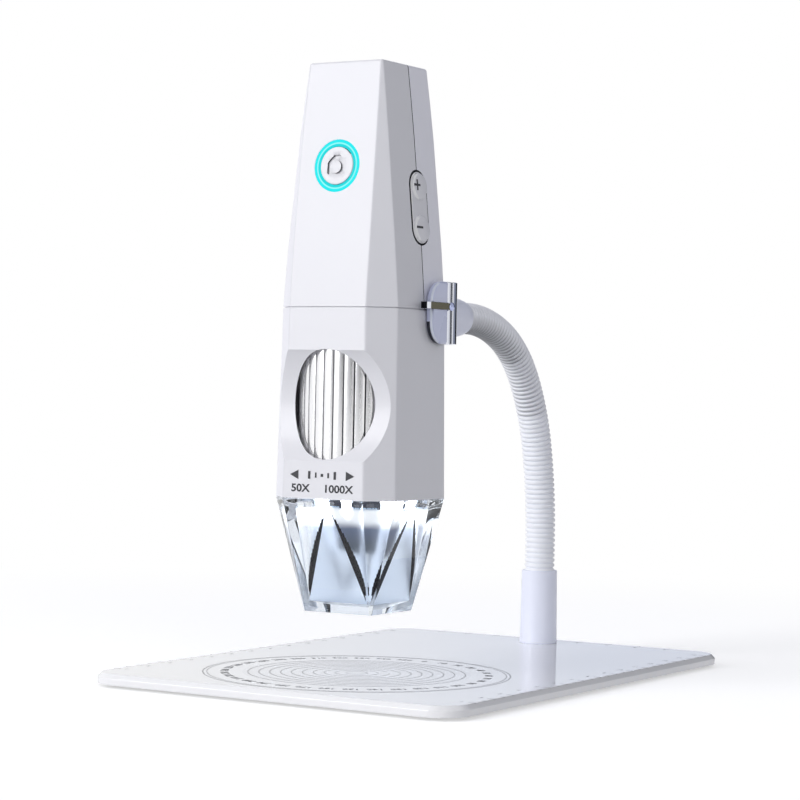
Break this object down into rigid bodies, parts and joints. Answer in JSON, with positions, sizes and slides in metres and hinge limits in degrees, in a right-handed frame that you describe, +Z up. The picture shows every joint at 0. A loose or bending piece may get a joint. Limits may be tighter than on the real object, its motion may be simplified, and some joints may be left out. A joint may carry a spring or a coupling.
{
  "type": "digital microscope",
  "caption": "White faceted hand-held digital microscope with clear hood and ribbed focus wheel, clipped to a ribbed gooseneck on a printed white stage",
  "frame": {"origin": "middle of the stage's footprint, on the surface that the stand rests on", "axes": "+Z up, the microscope's front looks along -Y, +X to its right seen from the front"},
  "size_m": [0.116, 0.165, 0.171],
  "materials": {
    "stage_white": "gloss white lacquer on steel",
    "foot_rubber": "matte moulded rubber",
    "lavender_plastic": "satin moulded plastic",
    "hose_white": "soft moulded ribs",
    "core_steel": "drawn steel",
    "screw_steel": "zinc-plated steel",
    "bracket_chrome": "polished plating",
    "pad_blue": "satin blue-grey plastic",
    "shell_white": "gloss moulded plastic",
    "hood_clear": "clear acrylic",
    "wheel_plated": "chrome-plated plastic",
    "black_plastic": "black moulded plastic",
    "lens_glass": "coated glass",
    "board_green": "solder mask",
    "board_white": "white solder mask",
    "flex_amber": "polyimide film",
    "lamp_lens": "moulded lamp lens",
    "ring_glow": "lit light guide",
    "cell_pouch": "laminated pouch"
  },
  "bodies": {
    "stand": {"stage_plate": "stage_white", "stage_feet": "foot_rubber", "post_sleeve": "lavender_plastic", "post_screw": "screw_steel"},
    "neck_foot": {"neck_plug": "core_steel", "neck_hose_foot": "hose_white", "neck_core_foot": "core_steel"},
    "neck_lower": {"neck_hose_lower": "hose_white", "neck_core_lower": "core_steel"},
    "neck_middle": {"neck_hose_middle": "hose_white", "neck_core_middle": "core_steel"},
    "neck_upper": {"neck_hose_upper": "hose_white", "neck_core_upper": "core_steel"},
    "holder": {"neck_hose_head": "hose_white", "neck_core_head": "core_steel", "neck_collar": "lavender_plastic", "holder_bracket": "bracket_chrome", "holder_screw": "screw_steel", "jaw_pad_right": "pad_blue", "jaw_pad_left": "pad_blue", "grip_bands": "bracket_chrome", "band_rivets": "bracket_chrome"},
    "microscope": {"sleeve": "shell_white", "grip_front": "shell_white", "grip_rear": "shell_white", "shell_screws": "screw_steel", "hood": "hood_clear", "wheel_clip": "black_plastic", "optics_chassis": "black_plastic", "sensor_board": "board_green", "image_sensor": "black_plastic", "sensor_flex": "flex_amber", "lamp_board": "board_white", "lamps": "lamp_lens", "main_board": "board_green", "board_screws": "screw_steel", "battery": "cell_pouch", "usb_socket": "screw_steel", "snap_switch": "black_plastic", "zoom_switches": "black_plastic", "light_ring": "ring_glow"},
    "focus_wheel": {"focus_wheel": "wheel_plated"},
    "lens_carriage": {"lens_barrel": "black_plastic", "front_lens": "lens_glass", "rear_lens": "lens_glass"},
    "snap_button": {"snap_button": "shell_white"},
    "zoom_key": {"zoom_key": "shell_white"}
  },
  "joints": [
    {"name": "neck_swing", "type": "hinge", "parent": "stand", "child": "neck_foot", "pos_m": [0, 0.0705, 0.0265], "axis": [0, 0, 1], "range_deg": [-35, 35]},
    {"name": "neck_bend_1", "type": "hinge", "parent": "neck_foot", "child": "neck_lower", "pos_m": [0, 0.0705, 0.03656], "axis": [-1, 0, 0], "range_deg": [-2, 16]},
    {"name": "neck_bend_2", "type": "hinge", "parent": "neck_lower", "child": "neck_middle", "pos_m": [0, 0.06697, 0.06527], "axis": [-1, 0, 0], "range_deg": [-2, 16]},
    {"name": "neck_bend_3", "type": "hinge", "parent": "neck_middle", "child": "neck_upper", "pos_m": [0, 0.05816, 0.08531], "axis": [-1, 0, 0], "range_deg": [-2, 16]},
    {"name": "neck_bend_4", "type": "hinge", "parent": "neck_upper", "child": "holder", "pos_m": [0, 0.04154, 0.09925], "axis": [-1, 0, 0], "range_deg": [-2, 16]},
    {"name": "scope_release", "type": "slide", "parent": "holder", "child": "microscope", "axis": [0, -1, 0], "range_m": [0, 0.04]},
    {"name": "focus_turn", "type": "hinge", "parent": "microscope", "child": "focus_wheel", "pos_m": [0, -0.0355, 0.0778], "axis": [0, 0, 1], "range_deg": [-135, 135]},
    {"name": "lens_focus", "type": "slide", "parent": "microscope", "child": "lens_carriage", "axis": [0, 0, 1], "range_m": [-0.003, 0.003]},
    {"name": "shutter_press", "type": "slide", "parent": "microscope", "child": "snap_button", "axis": [0, 0.995, -0.0995], "range_m": [0, 0.0006], "stiffness_N_per_m": 2000},
    {"name": "zoom_rock", "type": "hinge", "parent": "microscope", "child": "zoom_key", "pos_m": [0.01346, -0.034, 0.13153], "axis": [0, 1, 0], "range_deg": [-2.5, 2.5], "stiffness_Nm_per_rad": 0.15}
  ],
  "couplings": [
    {"joint": "lens_focus", "follows": "focus_turn", "m_per_rad": 0.0012732}
  ]
}
